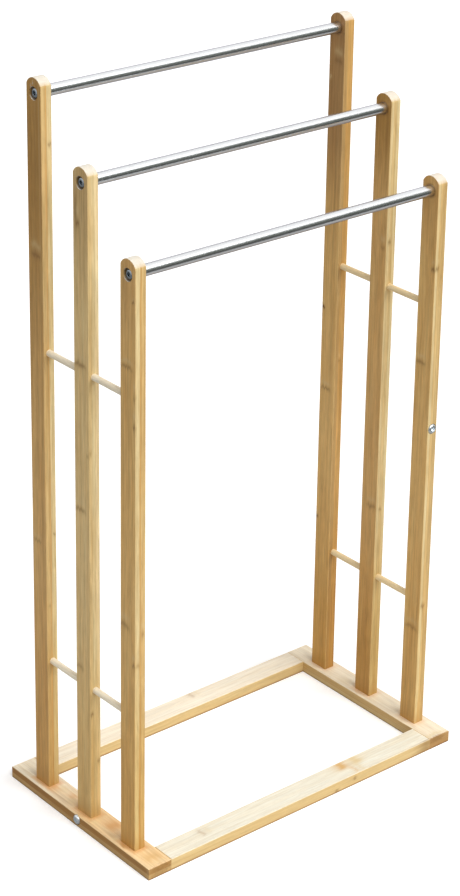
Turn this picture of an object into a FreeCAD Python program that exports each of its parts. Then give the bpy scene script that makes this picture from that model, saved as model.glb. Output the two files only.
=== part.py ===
import FreeCAD, Part
import Sketcher
import os
import re

# Freestanding towel stand. Two side rails and two cross rails lie on the floor as a flat frame,
# joined with stub tenons. Three posts are tenoned into each side rail, shorter towards the front,
# and two thin rods run through them. Three steel tubes span from side to side, each with its ends
# seated in the posts and bolted through them into threaded plugs.
#
# +X is to the right, +Y to the back and +Z up. The origin is on the floor, at the middle of the base.
# Every size is in millimetres.

SIZES = (
    # base
    ("stand_width", 420),
    ("stand_depth", 240),
    ("rail_width", 29),
    ("rail_height", 13),
    ("cross_width", 28),
    ("rail_arris", 0.6),
    ("cross_tenon_length", 10),
    ("cross_tenon_width", 18),
    ("cross_tenon_height", 5),
    # posts, whose heights are taken from the floor to the top of the crown
    ("post_width", 13),
    ("post_depth", 23.5),
    ("post_spacing", 74.5),
    ("rear_height", 795),
    ("middle_height", 725),
    ("front_height", 655),
    ("crown_rise", 7.5),
    ("post_arris", 0.7),
    ("foot_tenon_length", 10.8),
    ("foot_tenon_width", 7),
    ("foot_tenon_depth", 16),
    # towel bars
    ("bar_diameter", 12),
    ("bar_wall", 0.8),
    ("bar_drop", 16),
    ("bar_socket_depth", 2),
    ("plug_length", 15),
    # rods between the posts, whose heights are taken from the floor
    ("rod_diameter", 7),
    ("rod_end_depth", 12),
    ("lower_rod_height", 163.5),
    ("upper_rod_height", 511.5),
    # button-head bolts
    ("bolt_diameter", 6),
    ("bolt_head_diameter", 10.5),
    ("bolt_head_height", 3),
    ("bolt_head_rim", 0.8),
    ("bolt_head_flat", 6.6),
    ("key_width", 4),
    ("key_depth", 2),
    ("bar_bolt_length", 18),
    ("bar_bolt_sink", 4),
    ("bar_bolt_sink_diameter", 13.5),
    ("short_bolt_length", 14),
    ("short_bolt_sink", 1.4),
    ("short_bolt_sink_diameter", 11.3),
    ("rail_bolt_back", 2.5),
    ("post_bolt_height", 372),
    # clearances: on a radius or a side, and at the bottom of a blind hole
    ("fit_gap", 0.1),
    ("end_gap", 0.5),
)

SIDES = {"left": -1, "right": 1}
ROWS = {"rear": 1, "middle": 0, "front": -1}
CROSS_RAILS = {"back": 1, "front": -1}
ROD_LEVELS = ("lower", "upper")

FULL_ANGLE = 360
NEAR = 0.001

UPRIGHT = FreeCAD.Rotation()
LEFT_TO_FRONT = FreeCAD.Rotation(FreeCAD.Vector(0, 0, 1), 90)

doc = FreeCAD.newDocument("TowelStand")
sheet = doc.addObject("Spreadsheet::Sheet", "Sizes")
nodes = []


# ---- sizes ----

def fill_sheet():
    for row, (name, value) in enumerate(SIZES, 1):
        sheet.set(f"A{row}", name)
        sheet.set(f"B{row}", str(value))
        sheet.setAlias(f"B{row}", name)
    doc.recompute()


def formula(text):
    """The text with each size's name pointed at the sheet."""
    return re.sub(r"[a-z]+(_[a-z]+)+", lambda found: "Sizes." + found.group(), text)


def bind(thing, place, text):
    thing.setExpression(place, formula(text))


def number(text):
    """What the formula gives now, to start a sketch near its solved shape."""
    return float(sheet.evalExpression(formula(text)))


# ---- bodies, sketches and features ----

def new_body(name, x="0", y="0", z="0", turn=UPRIGHT):
    body = doc.addObject("PartDesign::Body", name)
    body.Label = name
    body.Placement = FreeCAD.Placement(FreeCAD.Vector(), turn)
    bind(body, "Placement.Base.x", x)
    bind(body, "Placement.Base.y", y)
    bind(body, "Placement.Base.z", z)
    nodes.append(body)
    return body


def body_plane(body, role):
    return next(item for item in body.Origin.OriginFeatures if item.Role == role)


def new_sketch(body, name, plane, offset="0"):
    """A sketch on one of the body's own planes, moved along the plane's normal by the offset."""
    sketch = body.newObject("Sketcher::SketchObject", name)
    sketch.AttachmentSupport = [(body_plane(body, plane), "")]
    sketch.MapMode = "FlatFace"
    bind(sketch, "AttachmentOffset.Base.z", offset)
    return sketch


def hold(sketch, kind, name, text, *where):
    """A named constraint whose value is a formula."""
    index = sketch.addConstraint(Sketcher.Constraint(kind, *where, number(text)))
    sketch.renameConstraint(index, name)
    bind(sketch, f"Constraints.{name}", text)


def hold_point(sketch, name, x, y, line, end):
    """Holds one end of a line at x and y from the sketch's origin."""
    hold(sketch, "DistanceX", f"{name}_x", x, -1, 1, line, end)
    hold(sketch, "DistanceY", f"{name}_y", y, -1, 1, line, end)


def draw_circle(sketch, name, diameter, x="0", y="0"):
    centre = FreeCAD.Vector(number(x), number(y), 0)
    circle = sketch.addGeometry(Part.Circle(centre, FreeCAD.Vector(0, 0, 1), number(diameter) / 2))
    hold(sketch, "Diameter", f"{name}_diameter", diameter, circle)
    hold_point(sketch, name, x, y, circle, 3)


def draw_outline(sketch, points, name, arc=None, arc_centre=None):
    """A closed outline through the points.

    The edge that arc numbers, anticlockwise from its start to its end, is an arc of a circle whose
    centre is on the V axis at the height that arc_centre gives.
    """
    places = [FreeCAD.Vector(number(x), number(y), 0) for x, y in points]
    first = sketch.GeometryCount
    count = len(points)
    for index in range(count):
        start = places[index]
        end = places[(index + 1) % count]
        if index == arc:
            centre = FreeCAD.Vector(0, number(arc_centre), 0)
            circle = Part.Circle(centre, FreeCAD.Vector(0, 0, 1), (start - centre).Length)
            edge = Part.ArcOfCircle(circle, circle.parameter(start), circle.parameter(end))
        else:
            edge = Part.LineSegment(start, end)
        sketch.addGeometry(edge)
    for index in range(count):
        following = first + (index + 1) % count
        sketch.addConstraint(Sketcher.Constraint("Coincident", first + index, 2, following, 1))
        hold_point(sketch, f"{name}_p{index}", *points[index], first + index, 1)
    if arc is not None:
        hold(sketch, "DistanceY", f"{name}_centre", arc_centre, -1, 1, first + arc, 3)


def draw_rectangle(sketch, name, width, height, x="0", y="0"):
    """A rectangle centred on the place."""
    right = f"{x} + ({width}) / 2"
    left = f"{x} - ({width}) / 2"
    top = f"{y} + ({height}) / 2"
    bottom = f"{y} - ({height}) / 2"
    draw_outline(sketch, ((left, bottom), (right, bottom), (right, top), (left, top)), name)


def pad(body, sketch, length, both_ways=False, against_normal=False):
    feature = body.newObject("PartDesign::Pad", f"{sketch.Name}_pad")
    feature.Profile = sketch
    feature.Reversed = against_normal
    if both_ways:
        feature.SideType = "Symmetric"
    bind(feature, "Length", length)
    doc.recompute()
    return feature


def pocket(body, sketch, depth, along_normal=False):
    """Cuts against the sketch's normal, or along it. A depth of None cuts right through both ways."""
    before = body.Shape.Volume
    feature = body.newObject("PartDesign::Pocket", f"{sketch.Name}_pocket")
    feature.Profile = sketch
    feature.Reversed = along_normal
    if depth is None:
        feature.SideType = "Symmetric"
        feature.Type = "ThroughAll"
    else:
        bind(feature, "Length", depth)
    doc.recompute()
    check_cut(body, feature, before)
    return feature


def revolve(body, sketch):
    """Turns the sketch about its own H axis."""
    feature = body.newObject("PartDesign::Revolution", f"{sketch.Name}_revolution")
    feature.Profile = sketch
    feature.ReferenceAxis = (sketch, ["H_Axis"])
    feature.Angle = FULL_ANGLE
    doc.recompute()
    return feature


def drill_counterbored(body, sketch, diameter, head_diameter, head_depth, along_normal=False):
    """Counterbored holes right through."""
    before = body.Shape.Volume
    hole = body.newObject("PartDesign::Hole", f"{sketch.Name}_hole")
    hole.Profile = sketch
    doc.recompute()
    hole.Reversed = along_normal
    hole.DepthType = "ThroughAll"
    hole.HoleCutType = "Counterbore"
    bind(hole, "HoleCutDepth", head_depth)
    bind(hole, "Diameter", diameter)
    bind(hole, "HoleCutDiameter", head_diameter)
    doc.recompute()
    check_cut(body, hole, before)
    return hole


def mirror_across_stand(body, features):
    """Repeats the features on the other side of the body's own YZ plane."""
    mirror = body.newObject("PartDesign::Mirrored", f"{body.Name}_mirror")
    mirror.Originals = features
    mirror.MirrorPlane = (body_plane(body, "YZ_Plane"), [""])
    body.Tip = mirror
    doc.recompute()
    return mirror


def chamfer_edges(body, feature, size, wanted):
    """Chamfers the edges of the feature that the test picks."""
    chamfer = body.newObject("PartDesign::Chamfer", f"{feature.Name}_chamfer")
    chamfer.Base = (feature, edge_names(feature, wanted))
    bind(chamfer, "Size", size)
    doc.recompute()
    return chamfer


def edge_names(feature, wanted):
    return [f"Edge{index}" for index, edge in enumerate(feature.Shape.Edges, 1) if wanted(edge)]


def check_cut(body, feature, before):
    if not body.Shape.Volume < before - NEAR:
        raise RuntimeError(f"{feature.Name} cuts nothing")


# ---- places that several pieces share ----

def post_x(side):
    """The posts stand along the middle of the side rails."""
    return f"({SIDES[side]}) * (stand_width - rail_width) / 2"


def post_y(row):
    return f"({ROWS[row]}) * post_spacing"


def bar_z(row):
    return f"({row}_height - bar_drop)"


def cross_y(place):
    return f"({CROSS_RAILS[place]}) * (stand_depth - cross_width) / 2"


# From the middle of the stand to the posts' inner sides, and to the ends of the towel bars.
POST_INNER_SIDE = "((stand_width - rail_width - post_width) / 2)"
BAR_END = f"({POST_INNER_SIDE} + bar_socket_depth)"
# The arc that rises by crown_rise over the depth of a post.
CROWN_RADIUS = "((post_depth / 2)^2 + crown_rise^2) / (2 * crown_rise)"
# From the middle of the base to the front side of the front posts.
POST_FRONT = "(post_spacing + post_depth / 2)"
# The rail's bolt meets the middle of the foot tenon, whose height is taken from the rail's top.
RAIL_BOLT_FALL = "foot_tenon_length / 2"
BOLT_HOLE = "bolt_diameter + 2 * fit_gap"
ROD_HOLE = "rod_diameter + 2 * fit_gap"


# ---- base ----

def make_side_rail(side):
    """A flat board with mortises for three posts in its top and two cross rails in its inner side."""
    outward = SIDES[side]
    body = new_body(f"side_rail_{side}", x=post_x(side))
    plan = new_sketch(body, f"rail_{side}_plan", "XY_Plane")
    draw_rectangle(plan, "board", "rail_width", "stand_depth")
    board = pad(body, plan, "rail_height")
    chamfer_top_edges(body, board)

    feet = new_sketch(body, f"rail_{side}_feet", "XY_Plane", "rail_height")
    for row in ROWS:
        draw_mortise(feet, row, "foot_tenon_width", "foot_tenon_depth", y=post_y(row))
    pocket(body, feet, "foot_tenon_length + end_gap")

    inner_side = f"-({outward}) * rail_width / 2"
    ends = new_sketch(body, f"rail_{side}_ends", "YZ_Plane", inner_side)
    for place in CROSS_RAILS:
        where = {"x": cross_y(place), "y": "rail_height / 2"}
        draw_mortise(ends, place, "cross_tenon_width", "cross_tenon_height", **where)
    pocket(body, ends, "cross_tenon_length + end_gap", along_normal=outward > 0)

    if side == "left":
        where = {"x": "rail_bolt_back", "y": f"rail_height - {RAIL_BOLT_FALL}"}
        drill_short_bolt_hole(body, "YZ_Plane", "-rail_width / 2", where, along_normal=True)
        seat_short_bolt_head(body, "YZ_Plane", "-rail_width / 2", where, along_normal=True)


def draw_mortise(sketch, name, tenon_width, tenon_height, **where):
    draw_rectangle(sketch, name, f"{tenon_width} + 2 * fit_gap", f"{tenon_height} + 2 * fit_gap", **where)


def chamfer_top_edges(body, board):
    top = number("rail_height")
    chamfer_edges(body, board, "rail_arris", lambda edge: edge.BoundBox.ZMin > top - NEAR)


def drill_short_bolt_hole(body, plane, offset, where, along_normal):
    """A blind hole for a short bolt, from the side that its head lies in."""
    hole = new_sketch(body, f"{body.Name}_bolt", plane, offset)
    draw_circle(hole, "shank", BOLT_HOLE, **where)
    pocket(body, hole, "short_bolt_sink + short_bolt_length + end_gap", along_normal)


def seat_short_bolt_head(body, plane, offset, where, along_normal):
    """A shallow recess round the head of a short bolt."""
    seat = new_sketch(body, f"{body.Name}_bolt_seat", plane, offset)
    draw_circle(seat, "head", "short_bolt_sink_diameter", **where)
    pocket(body, seat, "short_bolt_sink", along_normal)


def make_cross_rail(place):
    """A board that fits between the side rails, with a stub tenon at each end."""
    body = new_body(f"cross_rail_{place}", y=cross_y(place))
    plan = new_sketch(body, f"cross_{place}_plan", "XY_Plane")
    draw_rectangle(plan, "board", "stand_width - 2 * rail_width", "cross_width")
    board = pad(body, plan, "rail_height")
    chamfer_top_edges(body, board)

    tenon = new_sketch(body, f"cross_{place}_tenon", "YZ_Plane")
    draw_rectangle(tenon, "tenon", "cross_tenon_width", "cross_tenon_height", y="rail_height / 2")
    pad(body, tenon, "stand_width - 2 * rail_width + 2 * cross_tenon_length", both_ways=True)


# ---- posts and rods ----

def make_post(side, row):
    """An upright bar with an arched crown and a foot tenon, bored for its towel bar and its rods."""
    outward = SIDES[side]
    name = f"post_{side}_{row}"
    body = new_body(name, post_x(side), post_y(row), "rail_height")
    height = f"{row}_height - rail_height"
    shoulder = f"{height} - crown_rise"
    profile = new_sketch(body, f"{name}_profile", "YZ_Plane")
    corners = (
        ("-post_depth / 2", "0"),
        ("post_depth / 2", "0"),
        ("post_depth / 2", shoulder),
        ("-post_depth / 2", shoulder),
    )
    draw_outline(profile, corners, "side", arc=2, arc_centre=f"{height} - {CROWN_RADIUS}")
    bar = pad(body, profile, "post_width", both_ways=True)

    def side_arris(edge):
        return edge.BoundBox.XLength < NEAR and edge.BoundBox.ZMax > NEAR

    chamfer_edges(body, bar, "post_arris", side_arris)

    tenon = new_sketch(body, f"{name}_tenon", "XY_Plane")
    draw_rectangle(tenon, "tenon", "foot_tenon_width", "foot_tenon_depth")
    pad(body, tenon, "foot_tenon_length", against_normal=True)

    outer_side = f"({outward}) * post_width / 2"
    bolt = new_sketch(body, f"{name}_bar_bolt", "YZ_Plane", outer_side)
    draw_circle(bolt, "bolt", BOLT_HOLE, y=f"{bar_z(row)} - rail_height")
    sink = ("bar_bolt_sink_diameter", "bar_bolt_sink")
    drill_counterbored(body, bolt, BOLT_HOLE, *sink, along_normal=outward < 0)

    socket = new_sketch(body, f"{name}_bar_socket", "YZ_Plane", f"-{outer_side}")
    draw_circle(socket, "bar", "bar_diameter + 2 * fit_gap", y=f"{bar_z(row)} - rail_height")
    pocket(body, socket, "bar_socket_depth", along_normal=outward > 0)

    drill_rod_holes(body, row)

    if (side, row) == ("left", "middle"):
        where = {"x": "rail_bolt_back", "y": f"-{RAIL_BOLT_FALL}"}
        drill_short_bolt_hole(body, "YZ_Plane", "-rail_width / 2", where, along_normal=True)
    if (side, row) == ("right", "front"):
        where = {"y": "post_bolt_height - rail_height"}
        drill_short_bolt_hole(body, "XZ_Plane", "post_depth / 2", where, along_normal=False)
        seat_short_bolt_head(body, "XZ_Plane", "post_depth / 2", where, along_normal=False)


def drill_rod_holes(body, row):
    """Blind holes in the rear and front posts, which face the middle one, and through holes in that."""
    forward = ROWS[row]
    holes = new_sketch(body, f"{body.Name}_rods", "XZ_Plane", f"({forward}) * post_depth / 2")
    for level in ROD_LEVELS:
        draw_circle(holes, level, ROD_HOLE, y=f"{level}_rod_height - rail_height")
    if row == "middle":
        pocket(body, holes, None)
    else:
        pocket(body, holes, "rod_end_depth + end_gap", along_normal=row == "front")


def make_rod(side, level):
    """A round rod through the middle post, with its ends in the rear and front posts."""
    name = f"rod_{side}_{level}"
    body = new_body(name, x=post_x(side), z=f"{level}_rod_height")
    section = new_sketch(body, f"{name}_section", "XZ_Plane")
    draw_circle(section, "rod", "rod_diameter")
    pad(body, section, "2 * (post_spacing - post_depth / 2 + rod_end_depth)", both_ways=True)


# ---- towel bars and their fasteners ----

def make_bar(row):
    """A thin tube whose ends sit on the floors of the sockets in the posts."""
    body = new_body(f"towel_bar_{row}", y=post_y(row), z=bar_z(row))
    section = new_sketch(body, f"bar_{row}_section", "YZ_Plane")
    draw_circle(section, "outside", "bar_diameter")
    draw_circle(section, "inside", "bar_diameter - 2 * bar_wall")
    pad(body, section, f"2 * {BAR_END}", both_ways=True)


def make_bar_plugs(row):
    """A threaded plug pressed into each end of a tube, flush with it."""
    name = f"bar_plugs_{row}"
    body = new_body(name, y=post_y(row), z=bar_z(row))
    section = new_sketch(body, f"{name}_section", "XZ_Plane")
    inner_end = f"-{BAR_END} + plug_length"
    bore = f"({BOLT_HOLE}) / 2"
    outside = "bar_diameter / 2 - bar_wall - fit_gap / 2"
    corners = (
        (f"-{BAR_END}", bore),
        (inner_end, bore),
        (inner_end, outside),
        (f"-{BAR_END}", outside),
    )
    draw_outline(section, corners, "plug")
    mirror_across_stand(body, [revolve(body, section)])


def make_bar_bolts(row):
    """The bolts that draw a towel bar against its two posts, with their heads sunk in the outer sides."""
    body = new_body(f"bar_bolts_{row}", y=post_y(row), z=bar_z(row))
    seat = f"({POST_INNER_SIDE} + post_width - bar_bolt_sink)"
    mirror_across_stand(body, add_bolt(body, seat, "bar_bolt_length"))


def add_bolt(body, seat, length):
    """A button-head bolt along the body's X axis. Its head points to -X, and its seat is that far out."""
    section = new_sketch(body, f"{body.Name}_section", "XZ_Plane")
    shank = "bolt_diameter / 2"
    head = "bolt_head_diameter / 2"
    head_top = f"-{seat} - bolt_head_height"
    corners = (
        (head_top, "0"),
        (f"-{seat} + {length}", "0"),
        (f"-{seat} + {length}", shank),
        (f"-{seat}", shank),
        (f"-{seat}", head),
        (f"-{seat} - bolt_head_rim", head),
        (head_top, "bolt_head_flat / 2"),
    )
    draw_outline(section, corners, "bolt")
    turned = revolve(body, section)

    key = new_sketch(body, f"{body.Name}_key", "YZ_Plane", head_top)
    draw_hexagon(key, "key_width")
    return [turned, pocket(body, key, "key_depth", along_normal=True)]


def draw_hexagon(sketch, across_flats):
    half = f"({across_flats}) / 2"
    corner = f"({across_flats}) / sqrt(3)"
    short = f"({across_flats}) / (2 * sqrt(3))"
    corners = (
        (half, f"-{short}"),
        (half, short),
        ("0", corner),
        (f"-{half}", short),
        (f"-{half}", f"-{short}"),
        ("0", f"-{corner}"),
    )
    draw_outline(sketch, corners, "key")


def make_short_bolts():
    """The bolt in the left rail's outer side, which holds the middle post's tenon, and the one in the
    front of the right front post."""
    rail_bolt = new_body("rail_bolt", y="rail_bolt_back", z=f"rail_height - {RAIL_BOLT_FALL}")
    add_bolt(rail_bolt, "(stand_width / 2 - short_bolt_sink)", "short_bolt_length")
    post_bolt = new_body("post_bolt", x=post_x("right"), z="post_bolt_height", turn=LEFT_TO_FRONT)
    add_bolt(post_bolt, f"({POST_FRONT} - short_bolt_sink)", "short_bolt_length")
    group_pieces("short_bolts", [rail_bolt, post_bolt])


def group_pieces(label, pieces):
    """Pieces of one kind, kept as separate solids in one node."""
    group = doc.addObject("Part::Compound", label)
    group.Label = label
    group.Links = pieces
    for piece in pieces:
        nodes.remove(piece)
    nodes.append(group)


def make_stand():
    for side in SIDES:
        make_side_rail(side)
    for place in CROSS_RAILS:
        make_cross_rail(place)
    for side in SIDES:
        for row in ROWS:
            make_post(side, row)
        for level in ROD_LEVELS:
            make_rod(side, level)
    for row in ROWS:
        make_bar(row)
        make_bar_plugs(row)
        make_bar_bolts(row)
    make_short_bolts()
    doc.recompute()


def check_stand():
    for item in doc.Objects:
        if "Invalid" in item.State or "Error" in item.State:
            raise RuntimeError(f"{item.Name} failed: {item.State}")
    for node in nodes:
        if node.Shape.isNull() or not node.Shape.isValid():
            raise RuntimeError(f"{node.Label} has no valid shape")


def export_stand():
    os.makedirs("parts", exist_ok=True)
    for node in nodes:
        node.Shape.exportStep(os.path.join("parts", f"{node.Label}.step"))
        box = node.Shape.BoundBox
        solids = len(node.Shape.Solids)
        print(f"{node.Label}: {solids} x {box.XLength:.1f} x {box.YLength:.1f} x {box.ZLength:.1f} mm")


fill_sheet()
make_stand()
check_stand()
export_stand()
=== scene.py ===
"""Looks of a freestanding towel stand: a laminated bamboo base and posts, steel bars and pale rods.

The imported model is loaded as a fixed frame, and the boards', bars' and rods' main sizes are read from
it. Posts, bars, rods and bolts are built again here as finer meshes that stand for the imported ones.
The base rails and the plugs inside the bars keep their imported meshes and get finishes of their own.
Sizes are in millimetres, as on a drawing, and are turned into metres where a mesh is made.
"""

import logging
import math
from dataclasses import dataclass, field
from enum import Enum
from functools import cache
from typing import Optional, Sequence, Union

import bmesh
import bpy
import numpy as np
from mathutils import Matrix, Vector


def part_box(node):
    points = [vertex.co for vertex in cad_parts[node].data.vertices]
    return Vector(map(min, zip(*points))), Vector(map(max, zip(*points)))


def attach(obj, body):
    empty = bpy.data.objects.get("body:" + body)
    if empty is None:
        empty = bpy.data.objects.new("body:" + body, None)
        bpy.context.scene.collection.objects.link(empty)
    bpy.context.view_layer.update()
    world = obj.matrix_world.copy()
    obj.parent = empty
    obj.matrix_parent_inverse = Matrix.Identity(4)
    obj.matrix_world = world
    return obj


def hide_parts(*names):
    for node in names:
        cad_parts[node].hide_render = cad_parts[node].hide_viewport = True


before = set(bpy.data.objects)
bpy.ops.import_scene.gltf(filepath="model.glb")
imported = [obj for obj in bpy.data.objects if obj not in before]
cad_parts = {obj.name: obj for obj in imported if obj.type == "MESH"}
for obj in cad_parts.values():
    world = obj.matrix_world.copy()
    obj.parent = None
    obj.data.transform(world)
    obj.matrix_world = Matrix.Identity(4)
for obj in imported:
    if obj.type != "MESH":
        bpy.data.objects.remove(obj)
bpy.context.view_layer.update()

LOG = logging.getLogger("towel_stand")
MM = 0.001
BODY = "root"
WHITE = (1.0, 1.0, 1.0)
WELD = 2e-6
SHARP = math.radians(38)

Material, Node, Tree = bpy.types.Material, bpy.types.Node, bpy.types.NodeTree
Socket = bpy.types.NodeSocket
Triple = tuple[float, float, float]
Fade = tuple[float, float, float, float]
Value = Union[Socket, float, Sequence[float]]


@cache
def span(node: str, axis: int) -> tuple[float, float]:
    """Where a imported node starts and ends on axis 0, 1 or 2, in mm to three decimals."""
    return tuple(round(corner[axis] / MM, 3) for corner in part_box(node))


def middle(node: str, axis: int) -> float:
    """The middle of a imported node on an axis."""
    return round(sum(span(node, axis)) / 2, 3)


def half_size(node: str, axis: int) -> float:
    """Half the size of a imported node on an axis."""
    low, high = span(node, axis)
    return round((high - low) / 2, 3)


POST_HALF_WIDTH, POST_HALF_DEPTH = (half_size("post_left_rear", axis) for axis in (0, 1))
RAIL_TOP = span("side_rail_left", 2)[1]


class Side(Enum):
    """The two frames of the stand; the value is the sign of x."""

    LEFT = -1
    RIGHT = 1


class Row(Enum):
    """The three rows of posts; the value is the row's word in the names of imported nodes."""

    REAR = "rear"
    MIDDLE = "middle"
    FRONT = "front"

    @property
    def axis(self) -> tuple[float, float]:
        """The towel bar's axis: its place from front to back and its height."""
        return tuple(middle(f"towel_bar_{self.value}", axis) for axis in (1, 2))


class Grain(Enum):
    """Which way a board runs. The value is the axes across it, through it and along it."""

    UPRIGHT = (0, 1, 2)
    FRONT_TO_BACK = (2, 0, 1)
    SIDE_TO_SIDE = (2, 1, 0)


class Tone(Enum):
    """The shades that bamboo strips, rods and their marks are sorted into; some also serve as painted
    shade and painted sheen.
    """

    CREAM = "#e7dfcf"
    BUTTER = "#e9ddcb"
    IVORY = "#f1ead5"
    SHELL = "#f5e5c8"
    MILK = "#f8ebd3"
    BIRCH = "#fff3d8"
    CORN = "#fbe2b0"
    PALE = "#e4ca93"
    LINEN = "#edd29d"
    BLOND = "#eac98b"
    MAIZE = "#e6ba72"
    STRAW = "#dfc085"
    WHEAT = "#dcb87a"
    SAND = "#d3b176"
    ROSE = "#fad8a5"
    PEACH = "#dfa35e"
    HONEY = "#ddb06c"
    GINGER = "#d2a35e"
    RUSSET = "#be8a44"
    TAN = "#c49d63"
    DUN = "#b0844d"
    UMBER = "#b48641"
    AMBER = "#a8783a"
    CARAMEL = "#ab8148"
    BROWN = "#8f6836"
    SCORCH = "#6d4519"

    @property
    def rgb(self) -> Triple:
        """The shade as linear red, green and blue."""
        return linear(self.value)


def linear(code: str) -> Triple:
    """#rrggbb as linear light: c / 12.92 below 0.04045, else ((c + 0.055) / 1.055) ** 2.4."""
    parts = [int(code[k : k + 2], 16) / 255 for k in (1, 3, 5)]
    return tuple(c / 12.92 if c <= 0.04045 else ((c + 0.055) / 1.055) ** 2.4 for c in parts)


# ---------------- meshes


class Shell:
    """Grids and fans of points, in mm, that are welded into one closed mesh."""

    def __init__(self) -> None:
        """Starts with no points and no faces."""
        self.points: list[np.ndarray] = []
        self.faces: list[list[int]] = []

    def _take(self, points: np.ndarray, faces: np.ndarray) -> None:
        """Adds points, and the faces that count from the first of them."""
        self.faces += (faces + sum(map(len, self.points))).tolist()
        self.points.append(points.reshape(-1, 3))

    def grid(self, points: np.ndarray, close_rows: bool = False,
             hole: Optional[tuple[int, int]] = None) -> None:
        """Adds the quads between a grid's neighbouring rows and columns, last column to first as well.

        Args:
            points: A (rows, columns, 3) array.
            close_rows: Whether the last row joins the first.
            hole: A cell, as (row, column), that stays open.
        """
        rows, columns = points.shape[:2]
        row, column = np.indices((rows - (not close_rows), columns))
        keep = np.ones(row.shape, bool)
        if hole:
            keep[hole] = False
        row, column = row[keep], column[keep]
        above, beside = (row + 1) % rows * columns, (column + 1) % columns
        row = row * columns
        corners = [row + column, row + beside, above + beside, above + column]
        self._take(points, np.stack(corners, axis=-1))

    def plate(self, corners: np.ndarray, rim: np.ndarray) -> None:
        """Fills a four-cornered plate round a circular rim.

        A quarter of the rim fans out to each corner, and one triangle closes the gap between two
        neighbouring corners, so that no point is added on the plate's edges.

        Args:
            corners: A (4, 3) array, each corner in the middle of its quarter of the rim.
            rim: An (n, 3) array with n a multiple of 4, in the same order.
        """
        here, corner = np.arange(len(rim)), np.arange(4)
        quarter = len(rim) // 4
        following = (corner + 1) % 4
        fans = np.stack([here + 4, (here + 1) % len(rim) + 4, here // quarter], axis=-1)
        gaps = np.stack([corner, following, following * quarter + 4], axis=-1)
        self._take(np.vstack([corners, rim]), np.vstack([fans, gaps]))

    def build(self, node: str, slot: str, finish: Material) -> None:
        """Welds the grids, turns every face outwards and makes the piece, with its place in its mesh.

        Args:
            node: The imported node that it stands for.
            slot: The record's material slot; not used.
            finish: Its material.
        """
        name = f"fine_{node}"
        mesh = bpy.data.meshes.new(name)
        mesh.from_pydata((np.vstack(self.points) * MM).tolist(), [], self.faces)
        work = bmesh.new()
        work.from_mesh(mesh)
        bmesh.ops.remove_doubles(work, verts=work.verts, dist=WELD)
        bmesh.ops.recalc_face_normals(work, faces=work.faces)
        work.to_mesh(mesh)
        work.free()
        mesh.polygons.foreach_set("use_smooth", np.ones(len(mesh.polygons), bool))
        mesh.set_sharp_from_angle(angle=SHARP)
        mesh.materials.append(finish)
        piece = bpy.data.objects.new(name, mesh)
        bpy.context.scene.collection.objects.link(piece)
        piece.modifiers.new("even_normals", "WEIGHTED_NORMAL").keep_sharp = True
        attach(piece, BODY)
        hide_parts(node)
        LOG.info("%s: %d faces", name, len(mesh.polygons))


def circle(count: int) -> np.ndarray:
    """That many angles, evenly spaced round a full turn from zero, in radians."""
    return np.arange(count) * 2 * np.pi / count


def turned(radii: Sequence, heights: Sequence[float], origin: Triple, axis: Triple,
           angles: np.ndarray) -> np.ndarray:
    """A turned surface: point = origin + height * axis + radius * (cos a * side + sin a * other).

    The two side directions are square to the axis and to each other.

    Args:
        radii: The radius of each row, as (rows,), or of each point, as (rows, columns).
        heights: The height of each row along the axis.
        origin: The point where the height is zero.
        axis: The direction of the axis, one unit long.
        angles: The angle of each column.

    Returns:
        A (rows, columns, 3) array.
    """
    along = np.asarray(axis, float)
    other = np.array([0.0, 0.0, 1.0])
    side = np.cross(other, along)
    reach = np.asarray(radii, float).reshape(len(heights), -1, 1)
    round_part = np.cos(angles)[:, None] * side + np.sin(angles)[:, None] * other
    return np.asarray(origin) + np.asarray(heights, float)[:, None, None] * along + reach * round_part


# ---------------- shader wiring


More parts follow.
